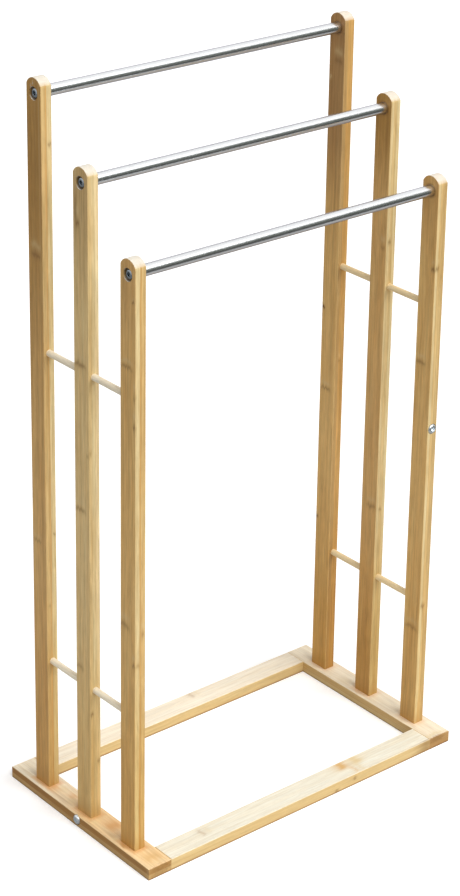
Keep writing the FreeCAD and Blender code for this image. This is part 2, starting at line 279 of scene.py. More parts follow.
class Wiring:
    """Adds nodes to one node tree and joins them."""

    def __init__(self, tree: Tree) -> None:
        """Works in the given tree."""
        self.tree = tree

    def node(self, kind: str, **settings: object) -> Node:
        """Adds a shader node.

        Args:
            kind: Its kind, such as Math.
            settings: Its properties, by name.

        Returns:
            The node.
        """
        made = self.tree.nodes.new(f"ShaderNode{kind}")
        for name, value in settings.items():
            setattr(made, name, value)
        return made

    def feed(self, socket: Socket, value: Value) -> None:
        """Links a socket to another, or writes a value into it.

        Args:
            socket: The input that is fed.
            value: An output socket, a number, a colour or a vector.
        """
        if isinstance(value, Socket):
            self.tree.links.new(value, socket)
        elif isinstance(value, (int, float)):
            socket.default_value = value
        else:
            socket.default_value = [*value, 1.0][: len(socket.default_value)]

    def put(self, node: Node, **values: Value) -> Sequence[Socket]:
        """Feeds a node's inputs by name.

        Args:
            node: The node.
            values: What each input gets; its name has _ for a space.

        Returns:
            The node's outputs.
        """
        for name, value in values.items():
            self.feed(node.inputs[name.replace("_", " ")], value)
        return node.outputs

    def _run(self, kind: str, ports: Sequence[int], values: Sequence[Value],
             **settings: object) -> Sequence[Socket]:
        """Adds a node and feeds its inputs by number.

        Args:
            kind: Its kind.
            ports: The numbers of the inputs.
            values: What they get, in the same order.
            settings: Its properties, by name.

        Returns:
            The node's outputs.
        """
        made = self.node(kind, **settings)
        for port, value in zip(ports, values):
            self.feed(made.inputs[port], value)
        return made.outputs

    def math(self, operation: str, *values: Value, clamp: bool = False) -> Socket:
        """A Math node on up to three numbers."""
        return self._run("Math", range(3), values, operation=operation, use_clamp=clamp)[0]

    def times(self, first: Value, second: Value) -> Socket:
        """first * second."""
        return self.math("MULTIPLY", first, second)

    def minus(self, first: Value, second: Value) -> Socket:
        """first - second."""
        return self.math("SUBTRACT", first, second)

    def scaled(self, value: Value, gain: Value, base: Value) -> Socket:
        """value * gain + base."""
        return self.math("MULTIPLY_ADD", value, gain, base)

    def depth(self, half: Value, value: Value) -> Socket:
        """How deep a place lies under the nearer of two faces: half - |value|."""
        return self.minus(half, self.math("ABSOLUTE", value))

    def vector(self, operation: str, *values: Value) -> Socket:
        """A Vector Math node on up to two vectors."""
        return self._run("VectorMath", range(2), values, operation=operation)[int(operation == "LENGTH")]

    def split(self, vector: Value) -> Sequence[Socket]:
        """The three parts of a vector."""
        return self._run("SeparateXYZ", [0], [vector])

    def join(self, x: Value, y: Value, z: Value) -> Socket:
        """A vector of three numbers."""
        return self._run("CombineXYZ", range(3), (x, y, z))[0]

    def mix(self, factor: Value, first: Value, second: Value, blend: str = "MIX") -> Socket:
        """Blends two colours."""
        return self._run("Mix", (0, 6, 7), (factor, first, second), data_type="RGBA", blend_type=blend)[2]

    def blend(self, factor: Value, first: Value, second: Value) -> Socket:
        """Blends two numbers."""
        return self._run("Mix", (0, 2, 3), (factor, first, second), data_type="FLOAT")[0]

    def ease(self, value: Value, low: float, high: float, start: float = 0.0, end: float = 1.0) -> Socket:
        """A smooth step from start to end while the value goes from low to high."""
        steps = (value, low, high, start, end)
        return self._run("MapRange", range(5), steps, interpolation_type="SMOOTHSTEP")[0]

    def noise(self, vector: Value, stretch: Value, detail: float, roughness: float = 0.5) -> Socket:
        """Noise between 0 and 1 on a vector times a stretch."""
        moved = self.vector("MULTIPLY", vector, stretch)
        return self.put(self.node("TexNoise"), Vector=moved, Scale=1.0, Detail=detail,
                        Roughness=roughness)[0]

    def group(self, tree: Tree, **values: Value) -> Sequence[Socket]:
        """Places a node group, feeds its inputs by name and gives its outputs."""
        return self.put(self.node("Group", node_tree=tree), **values)

    def place(self, centre: Triple = (0.0, 0.0, 0.0)) -> Socket:
        """The place on the object, in mm from a centre."""
        return self.put(self.node("Mapping", vector_type="POINT"), Location=[-c for c in centre],
                        Vector=self.node("TexCoord").outputs["Object"], Scale=(1 / MM,) * 3)[0]

    def bump(self, strength: float, distance: float, height: Socket) -> Socket:
        """A normal from a height from 0 to 1, which stands for a distance in mm."""
        return self.put(self.node("Bump"), Strength=strength, Distance=distance * MM, Height=height)[0]


class Group:
    """A shader node group that is built once and placed in several materials."""

    def __init__(self, name: str, inputs: Sequence[Sequence[str]],
                 outputs: Sequence[Sequence[str]]) -> None:
        """Makes an empty group.

        Args:
            name: The group's name.
            inputs: Its inputs, in runs of one kind: the kind and then their names.
            outputs: Its outputs, in the same form.
        """
        self.tree = bpy.data.node_groups.new(name, "ShaderNodeTree")
        for way, runs in (("INPUT", inputs), ("OUTPUT", outputs)):
            for kind, label in ((run[0], label) for run in runs for label in run[1:]):
                self.tree.interface.new_socket(name=label, in_out=way, socket_type=f"NodeSocket{kind}")
        self.wire = Wiring(self.tree)
        self.inputs = self.tree.nodes.new("NodeGroupInput").outputs
        self._results = self.tree.nodes.new("NodeGroupOutput")

    def give(self, **results: Value) -> Tree:
        """Feeds the group's outputs, by name, and gives the tree."""
        self.wire.put(self._results, **results)
        return self.tree


@cache
def fibre_group() -> Tree:
    """Bamboo fibres: noise on board coordinates in mm, squeezed across the board and drawn out along it.

    A slow sway of a millimetre or two bends the fibres. Streaks are about 2 mm wide and fibres
    0.4 mm. With each noise counted from its mean, level = 1 + contrast * (0.9 streak + 0.35 drift +
    0.6 fibre + 0.4 mottle), warmth = contrast * (0.4 hue - 0.6 streak - 0.3 drift), and the shade is
    level * (1 + 0.2 warmth, 1 - 0.25 warmth, 1 - 0.9 warmth).

    Returns:
        A group with the shade as a colour to multiply by, the streaks, the fibres and the short
        dark dashes of the cut fibre bundles.
    """
    group = Group("bamboo_fibres", [("Vector", "Board"), ("Float", "Seed", "Contrast")],
                  [("Color", "Shade"), ("Float", "Streak", "Fibre", "Dash")])
    wire, contrast = group.wire, group.inputs["Contrast"]
    shift = wire.join(*(wire.times(group.inputs["Seed"], gain) for gain in (37.1, 91.7, 253.3)))
    place = wire.vector("ADD", group.inputs["Board"], shift)
    bend = wire.times(wire.minus(wire.noise(place, (0.03, 0.03, 0.011), 1.0), 0.5), 6.0)
    place = wire.vector("ADD", place, wire.join(bend, bend, 0.0))
    layers = {}
    for name, across, along, detail in (("drift", 0.10, 0.007, 2.0), ("hue", 0.17, 0.011, 2.0),
                                        ("mottle", 0.24, 0.045, 3.0), ("streak", 0.40, 0.010, 3.0),
                                        ("fibre", 2.2, 0.040, 3.0), ("dash", 1.9, 0.11, 1.0)):
        moved = wire.vector("ADD", place, (len(layers) * 71.0, 0.0, len(layers) * 503.0))
        layers[name] = wire.noise(moved, (across, across, along), detail, 0.55)

    def sway(**gains: float) -> Value:
        """Adds up layers, each counted from its mean and times its gain."""
        total: Value = 0.0
        for label, gain in gains.items():
            total = wire.scaled(wire.minus(layers[label], 0.5), gain, total)
        return total

    level = wire.scaled(sway(streak=0.9, drift=0.35, fibre=0.6, mottle=0.4), contrast, 1.0)
    warmth = wire.times(sway(hue=0.4, streak=-0.6, drift=-0.3), contrast)
    parts = [wire.times(level, wire.scaled(warmth, gain, 1.0)) for gain in (0.2, -0.25, -0.9)]
    return group.give(Shade=wire.join(*parts), Streak=layers["streak"], Fibre=layers["fibre"],
                      Dash=wire.ease(layers["dash"], 0.60, 0.72))


@cache
def laminate_group() -> Tree:
    """Glued strips: the tone changes at two cuts across the board, and the outer faces have their own.

    Each cut wanders by a few tenths of a millimetre along the board.

    Returns:
        A group with the tone of the strip and a thin mask along the glue lines.
    """
    group = Group("glued_strips",
                  [("Vector", "Board"), ("Float", "Half", "First Cut", "Second Cut"),
                   ("Color", "First Tone", "Middle Tone", "Last Tone", "Face Tone")],
                  [("Color", "Tone"), ("Float", "Glue")])
    wire, inputs = group.wire, group.inputs
    across, _, along = wire.split(inputs["Board"])
    tone: Value = inputs["First Tone"]
    glue: Value = 0.0
    for cut, following in (("First Cut", "Middle Tone"), ("Second Cut", "Last Tone")):
        wander = wire.noise(wire.join(inputs[cut], inputs["Half"], along), (9.0, 1.0, 0.017), 3.0)
        past = wire.scaled(wire.minus(wander, 0.5), 2.2, wire.minus(across, inputs[cut]))
        tone = wire.mix(wire.ease(past, -0.35, 0.35), tone, inputs[following])
        line = wire.ease(wire.math("ABSOLUTE", past), 0.05, 0.40, 1.0, 0.0)
        glue = wire.math("MAXIMUM", glue, line)
    face = wire.ease(wire.depth(inputs["Half"], across), 0.15, 0.75, 1.0, 0.0)
    return group.give(Tone=wire.mix(face, tone, inputs["Face Tone"]),
                      Glue=wire.times(glue, wire.minus(1.0, face)))


@cache
def joint_group() -> Tree:
    """The mark where the bamboo cane had a joint: a bowed, wavering line across the fibres in a stain.

    With z the distance along the board plus 0.02 * (distance through it) ** 2 plus a wavering noise,
    the line falls off as 1 / (1 + (z / 1.5) ** 2), the stain as the square of
    1 / (1 + (z / long) ** 2) and a paler band beside them as the square of
    1 / (1 + ((z - 2 long) / long) ** 2), all inside a soft patch of the mark's reach.

    Returns:
        A group with the masks of the dark mark and of the pale band.
    """
    group = Group("cane_joint", [("Vector", "Board", "Place", "Reach"), ("Float", "Strength", "Line")],
                  [("Float", "Mask", "Pale")])
    wire, inputs = group.wire, group.inputs
    across, through, along = wire.split(wire.vector("SUBTRACT", inputs["Board"], inputs["Place"]))
    wide, deep, long = wire.split(inputs["Reach"])
    waver = wire.noise(inputs["Board"], (0.42, 0.42, 0.05), 4.0, 0.65)
    bent = wire.math("ADD", along, wire.times(wire.times(through, through), 0.02))
    bent = wire.math("ADD", bent, wire.times(wire.minus(waver, 0.5), 11.0))

    def bell(value: Value, width: Value) -> Socket:
        """1 / (1 + (value / width) ** 2)."""
        ratio = wire.math("DIVIDE", value, width)
        return wire.math("DIVIDE", 1.0, wire.scaled(ratio, ratio, 1.0))

    def band(value: Value, gain: float) -> Socket:
        """The square of the bell that is as wide as the mark is long, times a gain."""
        height = bell(value, long)
        return wire.times(wire.times(height, height), gain)

    def inside(value: Value, width: Value) -> Socket:
        """A soft mask that ends where the value passes the width."""
        return wire.ease(wire.math("ABSOLUTE", wire.math("DIVIDE", value, width)), 0.35, 1.0, 1.0, 0.0)

    spread = wire.times(wire.times(inside(across, wide), inside(through, deep)), inputs["Strength"])
    dark = wire.math("ADD", wire.times(bell(bent, 1.5), inputs["Line"]), band(bent, 0.6))
    pale = band(wire.scaled(long, -2.0, bent), 0.5)
    return group.give(Mask=wire.math("MULTIPLY", dark, spread, clamp=True),
                      Pale=wire.math("MULTIPLY", pale, spread, clamp=True))


@cache
def arris_group() -> Tree:
    """Wear along the long edges: one where both distances to the board's faces are small, else zero.

    Returns:
        A group with the mask of the worn edge.
    """
    group = Group("worn_arris", [("Vector", "Board"), ("Float", "Half Across", "Half Through", "Width")],
                  [("Float", "Mask")])
    wire, inputs = group.wire, group.inputs
    across, through, _ = wire.split(inputs["Board"])
    near: Value = 1.0
    for part, half in ((across, inputs["Half Across"]), (through, inputs["Half Through"])):
        share = wire.math("DIVIDE", wire.depth(half, part), inputs["Width"])
        near = wire.times(near, wire.ease(share, 0.2, 1.0, 1.0, 0.0))
    patchy = wire.noise(inputs["Board"], (0.3, 0.3, 0.04), 3.0)
    return group.give(Mask=wire.times(near, wire.ease(patchy, 0.35, 0.65, 0.35, 1.0)))


@cache
def worked_group() -> Tree:
    """A worked surface: fine lines drawn out along one axis, with a slow clouding of shade and gloss.

    Returns:
        A group with the colour, the roughness and the height of the lines.
    """
    group = Group("worked_surface", [("Vector", "Place", "Stretch"), ("Color", "Tone"),
                                     ("Float", "Gloss", "Spread")],
                  [("Color", "Color"), ("Float", "Roughness", "Height")])
    wire, inputs = group.wire, group.inputs
    lines = wire.noise(inputs["Place"], inputs["Stretch"], 3.0, 0.6)
    cloud = wire.noise(inputs["Place"], (0.12, 0.12, 0.12), 3.0, 0.6)
    grey = wire.math("ADD", wire.math("ADD", wire.times(lines, 0.10), wire.times(cloud, 0.10)), 0.90)
    uneven = wire.minus(wire.math("ADD", cloud, wire.times(lines, 0.5)), 0.75)
    return group.give(Color=wire.mix(1.0, inputs["Tone"], wire.join(grey, grey, grey), "MULTIPLY"),
                      Roughness=wire.scaled(uneven, inputs["Spread"], inputs["Gloss"]), Height=lines)


# ---------------- finishes


def new_material(name: str) -> tuple[Material, Wiring, Node]:
    """Makes a material with only a Principled shader and its output.

    Args:
        name: The material's name.

    Returns:
        The material, its wiring and the shader node.
    """
    material = bpy.data.materials.new(name)
    material.use_nodes = True
    return material, Wiring(material.node_tree), material.node_tree.nodes["Principled BSDF"]


@dataclass(frozen=True)
class Mark:
    """A cane joint or a stain on a board.

    Attributes:
        place: Where it is across, through and along the board, in mm.
        reach: How far it reaches in those directions.
        strength: How far its tone covers the board's.
        line: How strong the line in its middle is.
        tone: Its tone.
    """

    place: Triple
    reach: Triple
    strength: float
    line: float = 0.15
    tone: Tone = Tone.BROWN

    @classmethod
    def side(cls, through: float, height: float, deep: float, long: float, *rest: object) -> "Mark":
        """A mark on the left side face of a post."""
        return cls((-POST_HALF_WIDTH, through, height), (3, deep, long), *rest)

    @classmethod
    def front(cls, across: float, height: float, wide: float, long: float, *rest: object) -> "Mark":
        """A mark on the front face of a post."""
        return cls((across, -POST_HALF_DEPTH, height), (wide, 3, long), *rest)

    @classmethod
    def top(cls, through: float, along: float, deep: float, long: float, strength: float, tone: Tone,
            line: float = 0.0) -> "Mark":
        """A mark on the top face of a rail."""
        return cls((RAIL_TOP / 2, through, along), (3, deep, long), strength, line, tone)


@dataclass(frozen=True)
class Bamboo:
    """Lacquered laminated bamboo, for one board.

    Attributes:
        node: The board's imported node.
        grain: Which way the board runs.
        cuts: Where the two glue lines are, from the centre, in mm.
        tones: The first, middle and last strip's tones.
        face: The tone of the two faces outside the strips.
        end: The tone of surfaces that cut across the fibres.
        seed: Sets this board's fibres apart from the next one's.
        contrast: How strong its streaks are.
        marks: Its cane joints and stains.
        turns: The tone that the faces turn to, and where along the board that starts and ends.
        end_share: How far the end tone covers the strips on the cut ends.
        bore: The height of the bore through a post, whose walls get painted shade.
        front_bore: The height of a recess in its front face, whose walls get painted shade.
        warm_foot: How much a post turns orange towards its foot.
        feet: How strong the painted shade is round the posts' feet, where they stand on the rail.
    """

    node: str
    grain: Grain
    cuts: tuple[float, float]
    tones: tuple[Tone, Tone, Tone]
    face: Tone
    end: Tone
    seed: float
    contrast: float
    marks: Sequence[Mark]
    turns: Optional[tuple[Tone, float, float]] = None
    end_share: float = 1.0
    bore: Optional[float] = None
    front_bore: Optional[float] = None
    warm_foot: float = 0.0
    feet: float = 0.0

    # Where a band of painted shade starts and ends, in mm, and how strong it is at both: up a post's
    # foot, into a bore's wall and round the towel bar.
    POST_FOOT_SHADE = (13.0, 38.0, 0.40, 0.0)
    WALL_DEPTH = (0.2, 1.5, 0.0, 0.6)
    BAR_RING_SHADE = (6.2, 9.5, 0.5, 0.0)
    # Where a mask starts and ends: in mm, and for cut ends on the normal.
    FOOT_WARMTH, INNER_FACE, CUT_END = (60.0, 290.0), (6.0, 6.4), (0.28, 0.80)
    # The tint of warm feet, the reach of the painted shade round posts' feet, the rise and strength of
    # the painted shade along a rail's bottom, and the radii of the bore walls with painted shade.
    WARM = (0.82, 0.71, 0.48)
    FEET_REACH, SOILED_RISE, SOILED_SHARE = 7.0, 2.2, 0.9
    BORE_WALL, RECESS_WALL, WALL_EDGE = 6.9, 5.8, 0.05
    # How much worn edges, dashes and streaks change the colour, the gloss and the relief.
    WORN_WIDTH, WORN_SHARE, WORN_GLOSS = 1.3, 0.30, 0.10
    DASH_SHARE, DASH_RELIEF = 0.12, 0.6
    STREAK_GLOSS, GLOSS = 0.16, 0.34

    @property
    def halves(self) -> tuple[float, float]:
        """Half the board's size across it and through it, in mm."""
        return tuple(half_size(self.node, axis) for axis in self.grain.value[:2])

    def _strips(self, wire: Wiring, board: Socket, normal: Socket) -> tuple[Socket, Socket, Socket]:
        """The tone of strips, faces and cut ends, and the masks of the glue lines and the cut ends.

        Args:
            wire: The material's wiring.
            board: Place across, through and along the board, in mm.
            normal: The part of the surface's normal along the board.

        Returns:
            The tone and the two masks.
        """
        face: Value = self.face.rgb
        if self.turns:
            tone, start, stop = self.turns
            face = wire.mix(wire.ease(wire.split(board)[2], start, stop), face, tone.rgb)
        strips = wire.group(laminate_group(), Board=board, Half=self.halves[0],
                            First_Cut=self.cuts[0], Second_Cut=self.cuts[1],
                            First_Tone=self.tones[0].rgb, Middle_Tone=self.tones[1].rgb,
                            Last_Tone=self.tones[2].rgb, Face_Tone=face)
        cut_end = wire.ease(wire.math("ABSOLUTE", normal), *self.CUT_END, 0.0, self.end_share)
        return wire.mix(cut_end, strips["Tone"], self.end.rgb), strips["Glue"], cut_end

    def _stains(self, wire: Wiring, board: Socket, tone: Socket) -> Socket:
        """Adds cane joints, and painted shade round posts' feet on a rail, up a post's foot and along a
        rail's bottom.

        The painted shade round a foot fades with the larger of the distances to the post's two pairs of
        faces.

        Args:
            wire: The material's wiring.
            board: Place across, through and along the board, in mm.
            tone: The tone so far.

        Returns:
            The tone with its stains.
        """
        across, through, along = wire.split(board)
        for mark in self.marks:
            stain = wire.group(joint_group(), Board=board, Place=mark.place, Reach=mark.reach,
                               Strength=mark.strength, Line=mark.line)
            tone = wire.mix(stain["Pale"], tone, Tone.PALE.rgb)
            tone = wire.mix(stain["Mask"], tone, mark.tone.rgb)
        # Painted shade round each post's foot, where it stands on the rail.
        if self.feet:
            pitch = Row.REAR.axis[0]
            gaps = [wire.minus(wire.math("ABSOLUTE", part), half)
                    for part, half in ((wire.math("WRAP", along, pitch / 2, -pitch / 2), POST_HALF_DEPTH),
                                       (through, POST_HALF_WIDTH))]
            stain = wire.ease(wire.math("MAXIMUM", *gaps), 0.0, self.FEET_REACH, self.feet, 0.0)
            tone = wire.mix(stain, tone, Tone.PEACH.rgb)
        if self.grain is Grain.UPRIGHT:
            # Painted shade up the post's own foot, where it meets the rail.
            tone = wire.mix(wire.ease(along, *self.POST_FOOT_SHADE), tone, Tone.CARAMEL.rgb)
            warm = wire.ease(along, *self.FOOT_WARMTH, self.warm_foot, 0.0)
            return wire.mix(warm, tone, self.WARM, "MULTIPLY")
        # Painted shade along the rail's bottom edge, where it meets the floor.
        low = -self.halves[0]
        contact_shade = wire.ease(across, low, low + self.SOILED_RISE, self.SOILED_SHARE, 0.0)
        return wire.mix(contact_shade, tone, Tone.SCORCH.rgb)

    def _paint_bore_shade(self, wire: Wiring, board: Socket, tone: Socket) -> Socket:
        """Paints shade on the walls of a post's bores, and a ring of painted shade round the towel bar.

        A bore's wall is where the distance from its axis is below its radius, under the surface.

        Args:
            wire: The material's wiring.
            board: Place across, through and along the board, in mm.
            tone: The tone so far.

        Returns:
            The tone with the painted shade.
        """
        across, through, along = wire.split(board)
        wide, deep = self.halves
        # Painted shade on the walls of the bore and of the front recess.
        for height, radius, beside, inward, half in (
                (self.bore, self.BORE_WALL, through, across, wide),
                (self.front_bore, self.RECESS_WALL, across, through, deep)):
            if height is not None:
                reach = wire.vector("LENGTH", wire.join(beside, wire.minus(along, height), 0.0))
                wall = wire.times(wire.ease(reach, radius - self.WALL_EDGE, radius, 1.0, 0.0),
                                  wire.ease(wire.depth(half, inward), *self.WALL_DEPTH))
                tone = wire.mix(wall, tone, Tone.SCORCH.rgb)
        # A ring of painted shade on the post's inner face round the towel bar.
        if self.bore is not None:
            reach = wire.vector("LENGTH", wire.join(through, wire.minus(along, self.bore), 0.0))
            inner = wire.times(across, -math.copysign(1.0, middle(self.node, 0)))
            bar_ring_shade = wire.times(wire.ease(reach, *self.BAR_RING_SHADE), wire.ease(inner, *self.INNER_FACE))
            tone = wire.mix(bar_ring_shade, tone, Tone.SCORCH.rgb)
        return tone

    def material(self) -> Material:
        """Builds the material: strips, fibres, stains and painted shade, worn edges, then lacquer.

        A post's coordinates start at the floor, and a rail's at its centre.

        Returns:
            The material.
        """
        made, wire, shader = new_material(f"bamboo_{self.node}")
        x, y, z = (middle(self.node, axis) for axis in range(3))
        axes = wire.split(wire.place((x, y, 0.0 if self.grain is Grain.UPRIGHT else z)))
        board = wire.join(*(axes[k] for k in self.grain.value))
        normal = wire.split(wire.node("NewGeometry").outputs["Normal"])[self.grain.value[2]]
        tone, glue, cut_end = self._strips(wire, board, normal)
        fibres = wire.group(fibre_group(), Board=board, Seed=self.seed, Contrast=self.contrast)
        tone = wire.mix(wire.scaled(cut_end, -0.75, 1.0), tone, fibres["Shade"], "MULTIPLY")
        tone = wire.mix(wire.times(fibres["Dash"], self.DASH_SHARE), tone, Tone.BROWN.rgb)
        glue = wire.times(glue, wire.scaled(cut_end, -0.25, 0.30))
        tone = wire.mix(glue, tone, Tone.CARAMEL.rgb)
        tone = self._paint_bore_shade(wire, board, self._stains(wire, board, tone))
        wide, deep = self.halves
        worn = wire.group(arris_group(), Board=board, Half_Across=wide, Half_Through=deep,
                          Width=self.WORN_WIDTH)["Mask"]
        relief = wire.minus(fibres["Fibre"], wire.times(fibres["Dash"], self.DASH_RELIEF))
        gloss = wire.scaled(fibres["Streak"], self.STREAK_GLOSS, self.GLOSS)
        wire.put(shader, Base_Color=wire.mix(wire.times(worn, self.WORN_SHARE), tone, Tone.PALE.rgb),
                 Roughness=wire.scaled(worn, self.WORN_GLOSS, gloss),
                 Normal=wire.bump(0.3, 0.1, relief),
                 Specular_IOR_Level=0.28, Coat_Weight=0.12, Coat_Roughness=0.25)
        return made


@dataclass(frozen=True)
class RodWood:
    """Pale turned wood of the thin rods, which run from front to back.

    Attributes:
        left: The tone of the left rods.
        right: The yellower tone of the right rods.
    """

    left: Tone = Tone.BIRCH
    right: Tone = Tone.CORN

    def material(self) -> Material:
        """Builds the material: a pale tone with streaks along the rod.

        Returns:
            The material.
        """
        made, wire, shader = new_material("rod_wood")
        x, y, z = wire.split(wire.place())
        fibres = wire.group(fibre_group(), Board=wire.join(x, z, y), Seed=4.7, Contrast=0.3)
        tone = wire.mix(wire.ease(x, -1.0, 1.0), self.left.rgb, self.right.rgb)
        tone = wire.mix(1.0, tone, fibres["Shade"], "MULTIPLY")
        wire.put(shader, Base_Color=wire.mix(wire.times(fibres["Dash"], 0.10), tone, Tone.CARAMEL.rgb),
                 Roughness=wire.scaled(fibres["Streak"], 0.12, 0.44),
                 Normal=wire.bump(0.25, 0.1, fibres["Fibre"]), Coat_Weight=0.1, Coat_Roughness=0.3)
        return made


@dataclass(frozen=True)
class Worked:
    """Bare metal with fine working lines, or moulded plastic where the lines have no depth.

    Attributes:
        name: The material's name.
        code: Its colour as #rrggbb.
        stretch: How fine the lines are on each axis, per mm.
        gloss: The mean roughness.
        spread: How far the roughness wanders.
        depth: The height of the lines, in mm.
        edge: The tint of its reflections at a glancing angle, as #rrggbb.
    """

    name: str
    code: str
    stretch: Triple
    gloss: float
    spread: float
    depth: float = 0.0
    edge: str = "#ffffff"

    def material(self) -> Material:
        """Builds the material.

        Returns:
            The material.
        """
        made, wire, shader = new_material(self.name)
        worked = wire.group(worked_group(), Place=wire.place(), Stretch=self.stretch,
                            Tone=linear(self.code), Gloss=self.gloss, Spread=self.spread)
        wire.put(shader, Base_Color=worked["Color"], Roughness=worked["Roughness"])
        if self.depth:
            wire.put(shader, Metallic=1.0, Specular_Tint=linear(self.edge),
                     Normal=wire.bump(0.2, self.depth, worked["Height"]))
        return made


# ---------------- the stand's pieces


@dataclass
class Post:
    """An upright: a flat bar with a crowned top, bored near its top for a towel bar and its bolt."""

    side: Side
    row: Row
    recess_height: Optional[float] = None
    half_width: float = POST_HALF_WIDTH
    half_depth: float = POST_HALF_DEPTH
    foot: float = RAIL_TOP
    crown_radius: float = 12.954
    crown_points: int = 27
    rays: Triple = (-30.0, 83.0, 7.5)
    arris: float = 0.7
    arris_steps: int = 4
    sink_radius: float = 6.75
    sink_depth: float = 4.0
    bore_radius: float = 3.1
    socket_radius: float = 6.1
    socket_depth: float = 2.0
    lip: float = 0.15
    tenon: Triple = (7.0, 16.0, 10.8)
    tenon_edge: float = 0.5
    tenon_taper: float = 0.93
    tenon_overlap: float = 1.0
    recess_radius: float = 5.65
    recess_depth: float = 1.4
    recess_lip: float = 0.1
    recess_reach: float = 7.0
    recess_points: int = 48
    shell: Shell = field(default_factory=Shell, init=False)

    @property
    def name(self) -> str:
        """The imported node's name."""
        return f"post_{self.side.name.lower()}_{self.row.value}"

    @property
    def centre_x(self) -> float:
        """Where the post's middle plane is."""
        return middle(self.name, 0)

    def side_heights(self) -> np.ndarray:
        """Heights of the points down a long side.

        They are where rays from the bar's axis, 7.5 degrees apart, meet the side:
        height = bar height - half depth * tan(angle). A recess adds one height above it and one below.

        Returns:
            The heights, falling.
        """
        heights = self.row.axis[1] - self.half_depth * np.tan(np.radians(np.arange(*self.rays)))
        if self.recess_height is not None:
            reach = np.array([self.recess_reach, -self.recess_reach])
            heights = np.append(heights, self.recess_height + reach)
        return np.append(heights, self.foot)

    def outline(self, inset: float) -> np.ndarray:
        """The post seen from its side: two straight sides under an arc.

        The inset pulls the sides in and shortens the arc's radius by the same amount:
        y = radius * sin a and z = centre + radius * cos a on the arc.

        Args:
            inset: How far the outline is pulled in, in mm.

        Returns:
            A (points, 2) array of y, from the post's centre, and z.
        """
        half, radius = self.half_depth - inset, self.crown_radius - inset
        centre = span(self.name, 2)[1] - self.crown_radius
        reach = math.asin(half / radius)
        angles = np.linspace(reach, -reach, self.crown_points)
        arc = np.stack([radius * np.sin(angles), centre + radius * np.cos(angles)], axis=-1)
        down = self.side_heights()
        front = np.stack([np.full(down.size, -half), down], axis=-1)
        return np.vstack([front[::-1] * [-1, 1], arc, front])

    def _lift(self, flat: np.ndarray, x: float) -> np.ndarray:
        """Puts an outline at a place across the stand."""
        return np.insert(flat + [self.row.axis[0], 0.0], 0, x, axis=1)

    def _skin(self) -> None:
        """Carries the outline across the post, with a rounded arris at each face.

        At angle a of the arris the inset is r * (1 - sin a) and the depth r * (1 - cos a). A recess
        leaves one cell of the front face open for its plate.
        """
        turn = np.linspace(0, np.pi / 2, self.arris_steps + 1)
        insets = self.arris * (1 - np.sin(turn))
        depths = self.arris * (1 - np.cos(turn)) - self.half_width
        rows = [self._lift(self.outline(inset), self.centre_x + depth) for inset, depth in
                zip(np.append(insets, insets[::-1]), np.append(depths, -depths[::-1]))]
        hole = None
        if self.recess_height is not None:
            hole = (self.arris_steps, len(rows[0]) - 3)
            self._recess()
        self.shell.grid(np.stack(rows), hole=hole)

    def _recess(self) -> None:
        """Sinks a round recess into the front face, in a plate that reaches as far up as down."""
        centre = (self.centre_x, self.row.axis[0] - self.half_depth, self.recess_height)
        radius, lip, sunk = self.recess_radius, self.recess_lip, -self.recess_depth
        wall = turned((radius + lip, radius, radius, 0), (0, -lip, sunk, sunk), centre, (0, -1, 0),
                      circle(self.recess_points))
        self.shell.grid(wall)
        rim_middles = wall[0][self.recess_points // 8 :: self.recess_points // 4]
        toward = np.sign(rim_middles - wall[0].mean(axis=0))
        corners = np.array(centre) + toward * [self.half_width - self.arris, 0.0, self.recess_reach]
        self.shell.plate(corners, wall[0])

    def _faces(self) -> None:
        """Closes the two faces and bores the post from one to the other.

        Each face is a ring between the outline and the bore's mouth, whose points lie on the rays
        from the bar's axis to the outline's points. The bore is a counterbore, a bolt hole and a
        socket on one axis.
        """
        y, z = self.row.axis
        flat = self.outline(self.arris)
        sink, bore, socket, lip = self.sink_radius, self.bore_radius, self.socket_radius, self.lip
        width = 2 * self.half_width
        seat = width - self.socket_depth
        radii = (sink + lip, sink, sink, bore, bore, socket, socket, socket + lip)
        depths = np.array([0, lip, self.sink_depth, self.sink_depth, seat, seat, width - lip, width])
        x = self.centre_x + self.side.value * (self.half_width - depths)
        bored = turned(radii, x, (0.0, y, z), (1, 0, 0), np.arctan2(flat[:, 1] - z, flat[:, 0]))
        self.shell.grid(bored)
        self.shell.grid(np.stack([self._lift(flat, x[0]), bored[0]]))
        self.shell.grid(np.stack([bored[-1], self._lift(flat, x[-1])]))

    def _foot_tenon(self) -> None:
        """Adds the tenon under the post: a box whose lower edges are taken off."""
        wide, deep, long = self.tenon
        corners = np.array([[-1, -1], [1, -1], [1, 1], [-1, 1]]) * [wide, deep] / 2
        centre, over = [self.centre_x, self.row.axis[0]], self.tenon_overlap
        rows = [np.insert(corners * scale + centre, 2, self.foot + height, axis=1)
                for height, scale in ((over, 0.0), (over, 1.0), (self.tenon_edge - long, 1.0),
                                      (-long, self.tenon_taper), (-long, 0.0))]
        self.shell.grid(np.stack(rows))

    def build(self, finish: Material) -> None:
        """Makes the post.

        Args:
            finish: Its bamboo.
        """
        self._skin()
        self._faces()
        self._foot_tenon()
        self.shell.build(self.name, "bamboo", finish)


@dataclass
class TowelBar:
    """A steel tube from post to post; its ends sit in the posts' sockets."""

    row: Row
    wall: float = 0.8
    edge: float = 0.2
    points: int = 96

    def build(self, finish: Material) -> None:
        """Makes the tube: its wall's outline, with rounded corners, carried round the axis.

        Args:
            finish: Its steel.
        """
        name = f"towel_bar_{self.row.value}"
        end, outer, edge = half_size(name, 0), half_size(name, 1), self.edge
        inner = outer - self.wall
        radii = (outer - edge, outer, outer, outer - edge, inner + edge, inner, inner, inner + edge)
        x = [-end, edge - end, end - edge, end]
        shell = Shell()
        shell.grid(turned(radii, x + x[::-1], (0.0, *self.row.axis), (1, 0, 0), circle(self.points)),
                   close_rows=True)
        shell.build(name, "bar_steel", finish)


